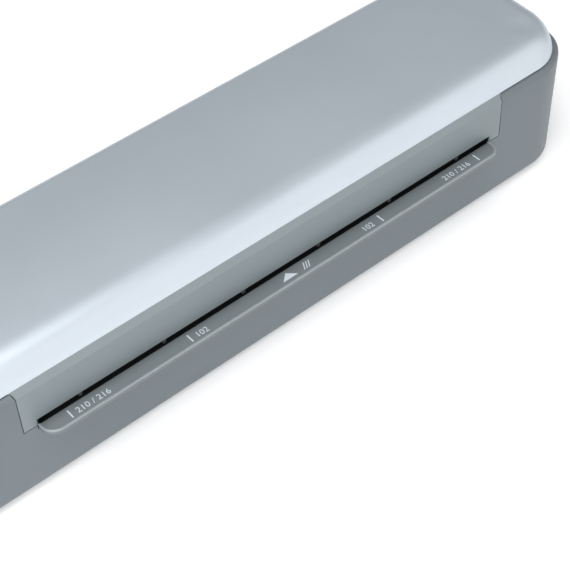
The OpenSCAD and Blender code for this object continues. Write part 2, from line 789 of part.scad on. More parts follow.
module control_panel() {
    slot_half = tan(lever_rest) * (panel_z - release[1]) + 2.2;
    color("#3f4549") difference() {
        union() {
            panel_opening(3, panel_z - panel_t, panel_t - 0.4);
            panel_opening(-fit, panel_z - panel_t, panel_t + 2);
        }
        panel_opening(-panel_rim, panel_z, 5);
        translate([lever_x - 2.4, release[0] - slot_half, panel_z - 3]) cube([4.8, 2 * slot_half, 5]);
        translate([switch_x - 5.7, switch_y - 8.2, panel_z - 3]) cube([11.4, 16.4, 5]);
        for (y = led_y) translate([switch_x, y, panel_z - 3]) cylinder(r = 1.6, h = 5);
        for (y = post_y) translate([-post_x, y, panel_z - 5]) cylinder(r = post_r + 0.4, h = 10);
    }
}

module switch_housing() {
    w = 11.2;
    d = 16.2;
    depth = 17;
    color("#23282b") difference() {
        translate([switch_x - w / 2, switch_y - d / 2, panel_z - depth]) cube([w, d, depth]);
        translate([switch_x - w / 2 + 1, switch_y - d / 2 + 1, panel_z - 7]) cube([w - 2, d - 2, 8]);
        rod([switch_y, rocker_pivot_z], 1 + bearing_gap, switch_x - w, switch_x + w);
    }
}

module power_rocker() {
    w = 8.6;
    color("#1d2023") {
        intersection() {
            translate([switch_x - w / 2, switch_y - 6.6, rocker_pivot_z - 2.2]) cube([w, 13.2, 8]);
            rod([switch_y, rocker_pivot_z], 6.8, switch_x - w / 2, switch_x + w / 2);
            translate([0, switch_y, rocker_pivot_z]) rotate([8, 0, 0])
                translate([switch_x - w / 2, -10, -6]) cube([w, 20, 8.6]);
        }
        rod([switch_y, rocker_pivot_z], 1, switch_x - w / 2 - 1, switch_x + w / 2 + 1);
    }
}

module indicator_board() {
    z = panel_z - 7.5;
    color("#2f6b45") {
        translate([switch_x - 5, led_y[1] - 4, z]) cube([10, led_y[0] - led_y[1] + 7, 1.2]);
        for (y = led_y) translate([switch_x, y, z + 1.2]) cylinder(r = 1.5, h = 3.4);
        for (x = [-3.6, 3.6]) translate([switch_x + x, led_y[1] - 2, z + 1.2]) cylinder(r = 1, h = 4.7);
    }
}

module led_lenses() {
    color("#9fd6a8") for (y = led_y) translate([switch_x, y, panel_z - 1.8]) {
        cylinder(r = 1.5, h = 2.2);
        translate([0, 0, -0.8]) cylinder(r = 2.3, h = 0.8);
    }
}

// ---- Electrical ----

board_x = -(half_w - 24);
board_y = 4;
board_z = floor_z + 8;
board_holes_x = [board_x - 14, board_x + 10.5];
board_holes_y = [board_y - 20, board_y + 20];

module control_board() {
    color("#2f6b45") difference() {
        translate([board_x - 17, board_y - 23, board_z]) cube([34, 46, 1.6]);
        for (x = board_holes_x, y = board_holes_y) translate([x, y, board_z - 1])
            cylinder(r = 1.2, h = 4);
    }
}

module board_components() {
    top = board_z + 1.6;
    color("#3b3f42") {
        translate([board_x - 13, board_y - 6, top]) cube([12, 15, 12]);
        translate([board_x + 8, board_y + 2, top]) cylinder(r = 5, h = 13);
        translate([board_x + 8, board_y - 9, top]) cylinder(r = 3.5, h = 9);
        for (x = [-12:4:4]) translate([board_x + x, board_y - 17, top]) cube([2, 6, 1.6]);
    }
}

module terminal_block() {
    top = board_z + 1.6;
    color("#2c6e9b") difference() {
        translate([board_x - 12, board_y + 12, top]) cube([24, 8, 9]);
        for (i = [0:3]) translate([board_x - 9 + i * 6, board_y + 16, top + 4]) cylinder(r = 1.7, h = 6);
    }
}

// A bent wire through a list of points
module wire(points, r) {
    for (i = [0:len(points) - 2]) {
        step = points[i + 1] - points[i];
        span = norm(step);
        translate(points[i]) rotate([0, acos(step[2] / span), atan2(step[1], step[0])])
            cylinder(r = r, h = span, $fn = 16);
        translate(points[i + 1]) sphere(r = 1.1 * r, $fn = 16);
    }
}

module internal_wiring() {
    low = wire_hole[1];
    block_z = board_z + 1.6 + 4;
    color("#b23a2e") {
        wire([[gland[0], rear_y - 12, gland[1] + 1], [gland[0], rear_y - 15, block_z],
            [board_x + 3, board_y + 21, block_z]], 0.9);
        wire([[board_x + 14, wire_hole[0], low], [motor_x + 8, wire_hole[0], low],
            [motor_x + 8, motor_y + 8, motor_z - motor_r + 0.1]], 1.2);
        wire([[switch_x, switch_y, panel_z - 17.4], [switch_x - 2, switch_y - 2, board_z + 15],
            [switch_x - 5, board_y + 16, board_z + 11.6]], 0.9);
    }
}

module cord_gland() {
    color("#24282a") translate([gland[0], 0, gland[1]]) rotate([90, 0, 0]) difference() {
        union() {
            translate([0, 0, -rear_y]) cylinder(r = 5.5, h = wall + 6);
            translate([0, 0, -rear_y + wall]) cylinder(r = 7, h = 2);
        }
        translate([0, 0, -rear_y - 1]) cylinder(r = gland_r, h = wall + 10);
    }
}

// ---- Fasteners and feet ----

module rubber_feet() {
    color("#2a2c2d") for (x = [-foot_x, foot_x], y = foot_y) translate([x, y, 0]) {
        cylinder(r = foot_r - 0.6, h = 0.6 + eps);
        translate([0, 0, 0.6]) cylinder(r = foot_r, h = foot_h + 0.2);
    }
}

module case_screws() {
    color("#8c8f91") for (x = [-post_x, post_x], y = post_y)
        translate([x, y, foot_h + 0.4]) difference() {
        union() {
            cylinder(r = 3, h = 1.6);
            cylinder(r = screw_r, h = boss_top_z + 8 - foot_h);
        }
        translate([0, 0, -1]) cube([4, 0.8, 3.4], center = true);
        translate([0, 0, -1]) cube([0.8, 4, 3.4], center = true);
    }
}

lower_case();
top_cover();
front_fascia();
feed_shelf();
upper_entry_guide();
exit_bezel();
exit_guide();
mid_guide();
left_side_frame();
right_side_frame();
tie_bars();
frame_screws();
lower_heater_shoe();
lower_heater_strip();
lower_roller_bushings();
thermostat();
thermal_fuse();
drive_motor();
motor_standoffs();
motor_screws();
idler_stud();
pressure_springs();
control_board();
board_components();
terminal_block();
internal_wiring();
cord_gland();
control_panel();
switch_housing();
indicator_board();
led_lenses();
rubber_feet();
case_screws();
lower_hot_sleeve();
lower_hot_shaft();
lower_hot_gear();
upper_hot_sleeve();
upper_hot_shaft();
upper_hot_gear();
lower_exit_sleeve();
lower_exit_shaft();
lower_exit_gear();
upper_exit_sleeve();
upper_exit_shaft();
upper_exit_gear();
idler_gear();
motor_pinion();
carriage_plates();
upper_heater_shoe();
upper_heater_strip();
upper_roller_bushings();
release_shaft();
release_cams();
release_lever();
power_rocker();
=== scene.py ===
import math

import bmesh
import bpy
from mathutils import Matrix, Vector
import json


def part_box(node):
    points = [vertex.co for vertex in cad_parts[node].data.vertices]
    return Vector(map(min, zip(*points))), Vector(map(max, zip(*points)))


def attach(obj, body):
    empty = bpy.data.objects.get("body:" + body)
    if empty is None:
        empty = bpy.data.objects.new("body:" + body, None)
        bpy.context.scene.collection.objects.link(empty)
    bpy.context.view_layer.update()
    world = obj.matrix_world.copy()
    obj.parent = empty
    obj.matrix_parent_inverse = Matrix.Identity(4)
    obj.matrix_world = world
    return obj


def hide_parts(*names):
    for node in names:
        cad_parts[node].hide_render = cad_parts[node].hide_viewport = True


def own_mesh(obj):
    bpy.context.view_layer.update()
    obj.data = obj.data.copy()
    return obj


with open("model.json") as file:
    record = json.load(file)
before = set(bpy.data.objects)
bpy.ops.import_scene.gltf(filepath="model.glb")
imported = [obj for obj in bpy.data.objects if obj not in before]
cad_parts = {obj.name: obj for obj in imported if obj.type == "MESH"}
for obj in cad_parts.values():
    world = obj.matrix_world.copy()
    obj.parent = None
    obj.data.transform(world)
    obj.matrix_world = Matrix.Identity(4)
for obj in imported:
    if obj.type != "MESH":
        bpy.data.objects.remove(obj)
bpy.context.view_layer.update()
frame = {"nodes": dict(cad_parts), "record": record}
MM = 0.001

# ---------------------------------------------------------------- camera, floor and light

CAMERA_PLACE = (-255.0, -342.5, 489.5)
CAMERA_PITCH = 49.14
CAMERA_YAW = 39.99
CAMERA_LENS = 92.52


def make_camera():
    """A camera that looks down by the pitch, and to the right of +Y by the yaw, in degrees."""
    data = bpy.data.cameras.new("camera")
    data.lens = CAMERA_LENS
    data.sensor_width = 36
    data.clip_start = 0.01
    data.clip_end = 20
    obj = bpy.data.objects.new("camera", data)
    obj.location = Vector(CAMERA_PLACE) * MM
    obj.rotation_euler = (math.radians(90 - CAMERA_PITCH), 0, -math.radians(CAMERA_YAW))
    bpy.context.scene.collection.objects.link(obj)
    bpy.context.scene.camera = obj


def area_light(name, place, target, size, power, colour=(1, 1, 1)):
    data = bpy.data.lights.new(name, "AREA")
    data.shape = "RECTANGLE"
    data.size, data.size_y = size
    data.energy = power
    data.color = colour
    obj = bpy.data.objects.new(name, data)
    obj.location = place
    obj.rotation_euler = (Vector(target) - Vector(place)).to_track_quat("-Z", "Y").to_euler()
    bpy.context.scene.collection.objects.link(obj)
    return obj


def make_world():
    world = bpy.data.worlds.new("studio")
    world.use_nodes = True
    background = world.node_tree.nodes["Background"]
    background.inputs["Color"].default_value = (0.93, 0.97, 1.0, 1)
    background.inputs["Strength"].default_value = 0.24
    bpy.context.scene.world = world


FLOOR_Z = -0.00005
FLOOR_HALF = 4
FLOOR_GLOW = 0.3


def make_floor():
    mesh = bpy.data.meshes.new("studio_floor")
    corners = [(-1, -1), (1, -1), (1, 1), (-1, 1)]
    mesh.from_pydata([(x * FLOOR_HALF, y * FLOOR_HALF, FLOOR_Z) for x, y in corners], [], [(0, 1, 2, 3)])
    obj = bpy.data.objects.new("studio_floor", mesh)
    bpy.context.scene.collection.objects.link(obj)
    paper = surface("floor_paper", (0.95, 0.95, 0.95), 0.8, grain=600, bump=0.02, vary=0.01)
    shader = paper.node_tree.nodes["Principled BSDF"]
    shader.inputs["Emission Color"].default_value = (1, 1, 1, 1)
    shader.inputs["Emission Strength"].default_value = FLOOR_GLOW
    mesh.materials.append(paper)


# ---------------------------------------------------------------- materials

CLOUD_SCALE = 18.0
ROUGH_VARY = 0.05


def surface(name, colour, rough, metal=0.0, grain=2500.0, bump=0.15, vary=0.05, depth=0.00003, coat=0.0,
            specular=0.5, flake=0.0):
    """A procedural finish: broad and fine colour variation, uneven roughness and a fine moulded grain."""
    material = bpy.data.materials.new(name)
    material.use_nodes = True
    nodes, links = material.node_tree.nodes, material.node_tree.links
    shader = nodes["Principled BSDF"]
    shader.inputs["Metallic"].default_value = metal
    shader.inputs["Specular IOR Level"].default_value = specular
    shader.inputs["Coat Weight"].default_value = coat
    shader.inputs["Coat Roughness"].default_value = 0.2
    place = nodes.new("ShaderNodeTexCoord")
    broad = nodes.new("ShaderNodeTexNoise")
    broad.inputs["Scale"].default_value = CLOUD_SCALE
    broad.inputs["Detail"].default_value = 4
    fine = nodes.new("ShaderNodeTexNoise")
    fine.inputs["Scale"].default_value = grain
    fine.inputs["Detail"].default_value = 3
    for texture in (broad, fine):
        links.new(place.outputs["Object"], texture.inputs["Vector"])
    both = nodes.new("ShaderNodeMath")
    both.operation = "MULTIPLY_ADD"
    links.new(fine.outputs["Fac"], both.inputs[0])
    both.inputs[1].default_value = 0.5 + flake
    links.new(broad.outputs["Fac"], both.inputs[2])
    ramp = nodes.new("ShaderNodeMapRange")
    ramp.inputs["From Min"].default_value = 0.4
    ramp.inputs["From Max"].default_value = 1.1 + flake
    links.new(both.outputs[0], ramp.inputs["Value"])
    mix = nodes.new("ShaderNodeMix")
    mix.data_type = "RGBA"
    mix.inputs["A"].default_value = (*[c * (1 - vary) for c in colour], 1)
    mix.inputs["B"].default_value = (*[min(1, c * (1 + vary)) for c in colour], 1)
    links.new(ramp.outputs["Result"], mix.inputs["Factor"])
    links.new(mix.outputs["Result"], shader.inputs["Base Color"])
    wear = nodes.new("ShaderNodeMapRange")
    wear.inputs["To Min"].default_value = rough - ROUGH_VARY
    wear.inputs["To Max"].default_value = rough + ROUGH_VARY
    links.new(broad.outputs["Fac"], wear.inputs["Value"])
    links.new(wear.outputs["Result"], shader.inputs["Roughness"])
    relief = nodes.new("ShaderNodeBump")
    relief.inputs["Strength"].default_value = bump
    relief.inputs["Distance"].default_value = depth
    links.new(fine.outputs["Fac"], relief.inputs["Height"])
    links.new(relief.outputs["Normal"], shader.inputs["Normal"])
    return material


def brushed(name, colour, rough, axis=(1, 60, 60)):
    """Metal with fine lines along one axis."""
    material = surface(name, colour, rough, metal=1.0, grain=120, bump=0.12, vary=0.06)
    nodes, links = material.node_tree.nodes, material.node_tree.links
    stretch = nodes.new("ShaderNodeMapping")
    stretch.inputs["Scale"].default_value = axis
    place = next(n for n in nodes if n.type == "TEX_COORD")
    fine = [n for n in nodes if n.type == "TEX_NOISE"][1]
    links.new(place.outputs["Object"], stretch.inputs["Vector"])
    links.new(stretch.outputs["Vector"], fine.inputs["Vector"])
    return material


def make_materials():
    return {
        "case_plastic": surface("case_plastic", (0.163, 0.192, 0.21), 0.42, bump=0.22, vary=0.04),
        "cover_paint": surface("cover_paint", (0.63, 0.69, 0.75), 0.38, metal=0.55, bump=0.1, vary=0.035,
                               grain=5200, flake=0.25, coat=0.12, depth=0.00002),
        "fascia_plastic": surface("fascia_plastic", (0.25, 0.29, 0.305), 0.42, bump=0.2, vary=0.035,
                                  specular=0.35),
        "shelf_plastic": surface("shelf_plastic", (0.172, 0.196, 0.205), 0.42, bump=0.2, vary=0.04),
        "dark_plastic": surface("dark_plastic", (0.055, 0.062, 0.068), 0.5, grain=1800, bump=0.3, vary=0.08),
        "black_plastic": surface("black_plastic", (0.01, 0.011, 0.012), 0.45, grain=2200, bump=0.2, vary=0.1,
                                 specular=0.3),
        "steel": brushed("steel", (0.56, 0.57, 0.58), 0.35),
        "screw_steel": brushed("screw_steel", (0.38, 0.39, 0.4), 0.32),
        "roller_steel": brushed("roller_steel", (0.52, 0.53, 0.54), 0.25, (60, 1, 1)),
        "spring_steel": brushed("spring_steel", (0.62, 0.62, 0.63), 0.22),
        "motor_steel": brushed("motor_steel", (0.34, 0.36, 0.38), 0.4),
        "aluminium": brushed("aluminium", (0.76, 0.77, 0.78), 0.38),
        "heater_film": surface("heater_film", (0.42, 0.16, 0.03), 0.3, grain=900, vary=0.12, coat=0.3),
        "bush_plastic": surface("bush_plastic", (0.72, 0.66, 0.54), 0.5, vary=0.05),
        "ceramic_body": surface("ceramic_body", (0.7, 0.64, 0.55), 0.35, grain=800, vary=0.06, coat=0.3),
        "brass_part": brushed("brass_part", (0.62, 0.44, 0.18), 0.3),
        "circuit_board": surface("circuit_board", (0.02, 0.13, 0.05), 0.3, grain=700, vary=0.25, coat=0.4),
        "component_plastic": surface("component_plastic", (0.035, 0.037, 0.04), 0.45, vary=0.1),
        "terminal_plastic": surface("terminal_plastic", (0.02, 0.15, 0.32), 0.4, vary=0.06),
        "wire_pvc": surface("wire_pvc", (0.45, 0.045, 0.035), 0.4, grain=500, vary=0.08),
        "gland_rubber": surface("gland_rubber", (0.022, 0.023, 0.024), 0.6, bump=0.3, vary=0.1),
        "rubber": surface("rubber", (0.028, 0.028, 0.029), 0.7, bump=0.4, vary=0.12),
        "silicone": surface("silicone", (0.5, 0.13, 0.05), 0.55, grain=1500, vary=0.06),
        "exit_rubber": surface("exit_rubber", (0.065, 0.067, 0.07), 0.6, grain=1500, vary=0.1),
        "gear_plastic": surface("gear_plastic", (0.8, 0.77, 0.68), 0.42, vary=0.04),
        "lens": surface("lens", (0.3, 0.62, 0.36), 0.2, grain=400, vary=0.08, coat=0.5),
        # The rim bead's finish: the shelf's plastic painted lighter, a painted highlight along the shelf's
        # edge
        "rim_painted_highlight": surface("rim_painted_highlight", (0.28, 0.315, 0.33), 0.27, grain=1800, bump=0.1, coat=0.4),
        "print_ink": surface("print_ink", (0.62, 0.68, 0.72), 0.5, grain=3000, vary=0.12),
    }


# ---------------------------------------------------------------- mesh helpers

def finish_piece(obj, slot, body, node, sharp):
    """Gives obj its finish, body and the CAD node it stands for. Edges over sharp degrees stay sharp."""
    obj.data.materials.clear()
    obj.data.materials.append(MATERIALS[slot])
    for face in obj.data.polygons:
        face.use_smooth = True
        face.material_index = 0
    obj.data.set_sharp_from_angle(angle=math.radians(sharp))
    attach(obj, body)
    if node:
        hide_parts(node)
    return obj


def new_object(name, verts, faces):
    mesh = bpy.data.meshes.new(name)
    mesh.from_pydata([Vector(v) * MM for v in verts], [], faces)
    mesh.validate()
    obj = bpy.data.objects.new(name, mesh)
    bpy.context.scene.collection.objects.link(obj)
    return obj


def skin(name, rings, cap_first=True, cap_last=True):
    """A closed surface through rings of points that all have the same count."""
    count = len(rings[0])
    verts = [p for ring in rings for p in ring]
    faces = []
    for k in range(len(rings) - 1):
        for i in range(count):
            j = (i + 1) % count
            faces.append((k * count + i, k * count + j, (k + 1) * count + j, (k + 1) * count + i))
    if cap_first:
        faces.append(tuple(reversed(range(count))))
    if cap_last:
        start = (len(rings) - 1) * count
        faces.append(tuple(range(start, start + count)))
    return new_object(name, verts, faces)


def tidy_mesh(obj, merge=0.001):
    """Merges points closer than merge, and turns every face outward."""
    work = bmesh.new()
    work.from_mesh(obj.data)
    bmesh.ops.remove_doubles(work, verts=work.verts, dist=merge * MM)
    bmesh.ops.recalc_face_normals(work, faces=work.faces)
    work.to_mesh(obj.data)
    work.free()


def apply_modifiers(obj):
    bpy.context.view_layer.update()
    graph = bpy.context.evaluated_depsgraph_get()
    mesh = bpy.data.meshes.new_from_object(obj.evaluated_get(graph))
    obj.modifiers.clear()
    obj.data = mesh


def cut(obj, *tools):
    """Takes the tools away from obj, and deletes them."""
    for tool in tools:
        modifier = obj.modifiers.new("cut", "BOOLEAN")
        modifier.operation = "DIFFERENCE"
        modifier.solver = "EXACT"
        modifier.object = tool
    apply_modifiers(obj)
    for tool in tools:
        bpy.data.objects.remove(tool)


def hollow(obj, wall, foot):
    """Makes a shell of an open skin: its inside lies a wall's thickness in, and stops at the foot."""
    modifier = obj.modifiers.new("shell", "SOLIDIFY")
    modifier.thickness = wall * MM
    modifier.offset = -1
    apply_modifiers(obj)
    for v in obj.data.vertices:
        v.co.z = max(v.co.z, foot * MM)


def round_edges(obj, width, segments, angle):
    """Rounds every edge that turns by more than angle degrees."""
    modifier = obj.modifiers.new("edge", "BEVEL")
    modifier.width = width * MM
    modifier.segments = segments
    modifier.limit_method = "ANGLE"
    modifier.angle_limit = math.radians(angle)
    apply_modifiers(obj)


def block(x0, x1, y0, y1, z0, z1):
    verts = [(x, y, z) for z in (z0, z1) for y in (y0, y1) for x in (x0, x1)]
    faces = [(0, 2, 3, 1), (4, 5, 7, 6), (0, 1, 5, 4), (2, 6, 7, 3), (0, 4, 6, 2), (1, 3, 7, 5)]
    return new_object("block", verts, faces)


def rounded(x0, x1, y0, y1, r, steps=8):
    """Points of a rectangle with round corners, anticlockwise."""
    centres = [(x1 - r, y0 + r, -90), (x1 - r, y1 - r, 0), (x0 + r, y1 - r, 90), (x0 + r, y0 + r, 180)]
    turns = [(cx, cy, math.radians(a0 + 90 * i / steps)) for cx, cy, a0 in centres for i in range(steps + 1)]
    return [(cx + r * math.cos(a), cy + r * math.sin(a)) for cx, cy, a in turns]


def prism(points, z0, z1, name="prism"):
    return skin(name, [[(x, y, z0) for x, y in points], [(x, y, z1) for x, y in points]])


def disc(x, y, r, z0, z1, steps=48):
    points = [(x + r * math.cos(2 * math.pi * i / steps), y + r * math.sin(2 * math.pi * i / steps))
              for i in range(steps)]
    return prism(points, z0, z1)


def refined(node, width, slot, body):
    """A CAD node's own shape as a new piece with rounded edges."""
    source = frame["nodes"][node]
    obj = bpy.data.objects.new("fine_" + node, source.data.copy())
    bpy.context.scene.collection.objects.link(obj)
    tidy_mesh(obj, 0.002)
    work = bmesh.new()
    work.from_mesh(obj.data)
    bmesh.ops.dissolve_limit(work, angle_limit=math.radians(1), verts=work.verts, edges=work.edges)
    work.to_mesh(obj.data)
    work.free()
    round_edges(obj, width, 2, 40.0)
    return finish_piece(obj, slot, body, node, 16)


# ---------------------------------------------------------------- sizes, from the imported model

case_lo, case_hi = (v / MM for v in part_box("lower_case"))
fascia_lo, fascia_hi = (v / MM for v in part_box("front_fascia"))
shelf_lo, shelf_hi = (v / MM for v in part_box("feed_shelf"))
HALF = case_hi.x
REAR = case_hi.y
CASE_FOOT = case_lo.z
CASE_TOP = case_hi.z
CROWN = (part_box("top_cover")[1] / MM).z
FRONT_FOOT = case_lo.y
FRONT_LEAN = 2.7
PART = fascia_hi.z
SLOT_LOW = fascia_lo.z
SLOT_HIGH = SLOT_LOW + 3
SLOT_HALF = shelf_hi.x
FASCIA_HALF = fascia_hi.x
COVER_FRONT = FRONT_FOOT + 5.2


def wall_y(z):
    """The front wall leans back as it rises."""
    return FRONT_FOOT + FRONT_LEAN * (z - CASE_FOOT) / (CASE_TOP - CASE_FOOT)


def corner_points(ax, ay, power, steps):
    """A quarter of a superellipse, from (0, -ay) to (ax, 0), with its outward normals."""
    out = []
    for i in range(steps + 1):
        t = math.pi / 2 * i / steps
        c, s = math.cos(t), math.sin(t)
        x, y = ax * s ** (2 / power), -ay * c ** (2 / power)
        nx, ny = (max(s, 1e-9) ** (2 - 2 / power)) / ax, -(max(c, 1e-9) ** (2 - 2 / power)) / ay
        size = math.hypot(nx, ny)
        out.append((x, y, nx / size, ny / size))
    return out


def outline(half, front, rear, front_corner, rear_corner, steps=20, spans=10):
    """The plan outline, anticlockwise from the front left, as (x, y, nx, ny)."""
    ax, ay, power = front_corner
    bx, by, rear_power = rear_corner
    front_right = [(half - ax + x, front + ay + y, nx, ny)
                   for x, y, nx, ny in corner_points(ax, ay, power, steps)]
    rear_right = [(half - bx + x, rear - by - y, nx, -ny)
                  for x, y, nx, ny in reversed(corner_points(bx, by, rear_power, steps))]
    right = front_right + rear_right
    left = [(-x, y, -nx, ny) for x, y, nx, ny in reversed(right)]
    x0, x1 = -(half - ax), half - ax
    straight_front = [(x0 + (x1 - x0) * i / spans, front, 0, -1) for i in range(1, spans)]
    x2, x3 = half - bx, -(half - bx)
    straight_rear = [(x2 + (x3 - x2) * i / spans, rear, 0, 1) for i in range(1, spans)]
    return right + straight_rear + left + straight_front


SEAM = 0.4
FLARE_W, FLARE_H = 1.8, 2.6


def flare(z):
    """How far the ends of the fascia spread just below the cover."""
    t = min(1.0, max(0.0, (z - (PART - FLARE_H)) / FLARE_H))
    return FLARE_W * (1 - math.sqrt(1 - t * t))


def flare_heights(steps=8):
    return [PART - FLARE_H * math.cos(math.radians(90 * i / steps)) for i in range(steps + 1)]


def smooth(t):
    t = min(1.0, max(0.0, t))
    return t * t * (3 - 2 * t)


# ---------------------------------------------------------------- lower case

CASE_CORNER = (24, 24, 2.0)
CASE_WALL = 2.4
FOOT_X, FOOT_YS, FOOT_HOLE_R = HALF - 31, (-24.0, 33.0), 7.1
SCREW_X, SCREW_YS, SCREW_HOLE_R = HALF - 13, (-26.0, 34.5), 3.4
REAR_VENTS, REAR_VENT_PITCH = 20, 9
FLOOR_VENTS, FLOOR_VENT_PITCH, FLOOR_VENT_YS = 14, 14, (-6.0, 20.0)
VENT_HALF_W = 1.2
GLAND_HOLE_R = 5.5


def make_lower_case():
    plan = outline(HALF, FRONT_FOOT, REAR, CASE_CORNER, CASE_CORNER)
    top = CASE_TOP
    foot_r, edge_r, wall = 4.2, 2.4, CASE_WALL
    stations = [(foot_r + 6, CASE_FOOT)]
    for i in range(9):
        a = math.radians(90 * i / 8)
        stations.append((foot_r * (1 - math.sin(a)), CASE_FOOT + foot_r * (1 - math.cos(a))))
    for i in range(1, 6):
        stations.append((0, CASE_FOOT + foot_r + (top - edge_r - CASE_FOOT - foot_r) * i / 5))
    for i in range(1, 6):
        a = math.radians(90 * i / 5)
        stations.append((edge_r * (1 - math.cos(a)), top - edge_r + edge_r * math.sin(a)))
    # A ledge under the cover's edge, then the inside of the wall
    ledge, ledge_t = 5.4, 1.2
    stations += [(ledge - 0.2, top), (ledge, top - 0.2), (ledge, top - ledge_t)]
    stations += [(wall + 0.4, top - ledge_t - ledge + wall), (wall + 0.4, 30), (wall + 0.6, CASE_FOOT + wall)]
    rings = []
    for inset, z in stations:
        ring = []
        for x, y, nx, ny in plan:
            lean = FRONT_LEAN * (z - CASE_FOOT) / (top - CASE_FOOT) * smooth(-ny)
            ring.append((x - nx * inset, y - ny * inset + lean, z))
        rings.append(ring)
    obj = skin("case_shell", rings)
    tidy_mesh(obj)
    right = [(FASCIA_HALF + SEAM + flare(z), z) for z in flare_heights()]
    opening = [(-FASCIA_HALF - SEAM, SLOT_LOW - SEAM), (FASCIA_HALF + SEAM, SLOT_LOW - SEAM)]
    widest = right[-1][0]
    opening += right + [(widest, PART + 5), (-widest, PART + 5)] + [(-x, z) for x, z in reversed(right)]
    window = skin("window", [[(x, y, z) for x, z in opening] for y in (FRONT_FOOT - 2, FRONT_FOOT + 9)])
    tidy_mesh(window)
    slot_half = SLOT_HALF + 0.2
    cutters = [window,
               block(-slot_half, slot_half, FRONT_FOOT - 2, FRONT_FOOT + 9, SLOT_LOW - 2.6, SLOT_LOW + 1)]
    bezel_lo, bezel_hi = (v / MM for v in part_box("exit_bezel"))
    rim = 2.5
    exit_low, exit_high = bezel_lo.z + rim, bezel_hi.z - rim
    cutters.append(block(bezel_lo.x + rim, bezel_hi.x - rim, REAR - 4, REAR + 2, exit_low, exit_high))
    low, high = CASE_FOOT + wall + 4, CASE_FOOT + wall + 16
    for i in range(REAR_VENTS):
        x = (i - (REAR_VENTS - 1) / 2) * REAR_VENT_PITCH
        cutters.append(block(x - VENT_HALF_W, x + VENT_HALF_W, REAR - 4, REAR + 2, low, high))
    for y in FLOOR_VENT_YS:
        for i in range(FLOOR_VENTS):
            x = (i - (FLOOR_VENTS - 1) / 2) * FLOOR_VENT_PITCH
            vent = rounded(x - VENT_HALF_W, x + VENT_HALF_W, y - 8, y + 8, 1.19, 4)
            cutters.append(prism(vent, CASE_FOOT - 2, CASE_FOOT + 4))
    for sx in (-1, 1):
        for y in FOOT_YS:
            cutters.append(disc(sx * FOOT_X, y, FOOT_HOLE_R, CASE_FOOT - 2, CASE_FOOT + 0.8))
        for y in SCREW_YS:
            cutters.append(disc(sx * SCREW_X, y, SCREW_HOLE_R, CASE_FOOT - 2, CASE_FOOT + 1.8))
    gland_lo, gland_hi = (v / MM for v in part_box("cord_gland"))
    centre = (gland_lo + gland_hi) / 2
    hole = disc(0, 0, GLAND_HOLE_R, -6, 2)
    turn = Matrix.Rotation(math.radians(-90), 4, "X")
    hole.data.transform(Matrix.Translation(Vector((centre.x, REAR, centre.z)) * MM) @ turn)
    cutters.append(hole)
    for cutter in cutters:
        tidy_mesh(cutter)
    cut(obj, *cutters)
    finish_piece(obj, "case_plastic", "chassis", "lower_case", 30)


# ---------------------------------------------------------------- top cover

CROWN_R = 280.0
CROWN_Y = 4.0
COVER_WALL = 2.2
ROLL_START, ROLL_END = 164, 95
# The rings stop just short of the crown's middle line, and a narrow cap closes them
CAP_AT = 0.97


def crown_z(y):
    return CROWN - CROWN_R + math.sqrt(CROWN_R ** 2 - (y - CROWN_Y) ** 2)


def make_top_cover():
    half, rear, front = HALF - 2.0, REAR - 0.4, COVER_FRONT
    plan = outline(half, front, rear, (22.5, 22.5, 2.0), (22, 22, 2.0))
    front_r, rear_r, end_r = 14.8, 7.0, 12.0
    steps = 14

    def front_roll(t):
        """From the lip at t = 0 to the crown at t = 1: distance in from the edge, and height."""
        a = math.radians(ROLL_START + (ROLL_END - ROLL_START) * t)
        a0 = math.radians(ROLL_START)
        return front_r * (math.cos(a) - math.cos(a0)), PART + front_r * (math.sin(a) - math.sin(a0))

    def upright_roll(t, r, top):
        """A short upright wall and then a quarter round."""
        rise = top - r - PART
        share = rise / (rise + r * math.pi / 2)
        if t < share:
            return 0.0, PART + rise * t / share
        a = math.pi / 2 * (t - share) / (1 - share)
        return r * (1 - math.cos(a)), PART + rise + r * math.sin(a)

    def surface_point(x, y, nx, ny, t):
        f, r, e = max(0.0, -ny) ** 2, max(0.0, ny) ** 2, nx * nx
        total = f + r + e
        f, r, e = f / total, r / total, e / total
        fi, fz = front_roll(t)
        ri, rz = upright_roll(t, rear_r, crown_z(rear - rear_r))
        ei, ez = upright_roll(t, end_r, crown_z(y))
        d = f * fi + r * ri + e * ei
        z = f * fz + r * rz + e * ez
        return x - nx * d, y - ny * d, z

    rings = []
    for k in range(steps + 1):
        rings.append([surface_point(*p, k / steps) for p in plan])
    last = rings[-1]
    mid_y = (front + rear) / 2
    reach = half - 42
    inner = 10
    for k in range(1, inner + 1):
        s = CAP_AT * k / inner
        ring = []
        for x, y, z in last:
            mx = min(reach, max(-reach, x))
            px, py = x + (mx - x) * s, y + (mid_y - y) * s
            ring.append((px, py, z + crown_z(py) - crown_z(y)))
        rings.append(ring)
    # Ease the height from the edge of the roll to the true crown
    for k in range(steps + 1, len(rings)):
        s = smooth((k - steps) / 4)
        rings[k] = [(x, y, z * (1 - s) + crown_z(y) * s) for x, y, z in rings[k]]
    obj = skin("cover_shell", rings, cap_first=False)
    tidy_mesh(obj, 0.01)
    hollow(obj, COVER_WALL, PART)
    tidy_mesh(obj, 0.01)
    return obj


def finish_cover(obj):
    """Opens the cover over the control panel."""
    panel_lo, panel_hi = (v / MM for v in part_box("control_panel"))
    lap, corner = 3, 4
    sides = (panel_lo.x + lap, panel_hi.x - lap, panel_lo.y + lap, panel_hi.y - lap)
    hole = prism(rounded(*sides, corner), PART, CROWN + 5)
    tidy_mesh(hole)
    cut(obj, hole)
    finish_piece(obj, "cover_paint", "chassis", "top_cover", 40)


# ---------------------------------------------------------------- front

BEVEL_H = 2.5
FASCIA_WALL = 2.0


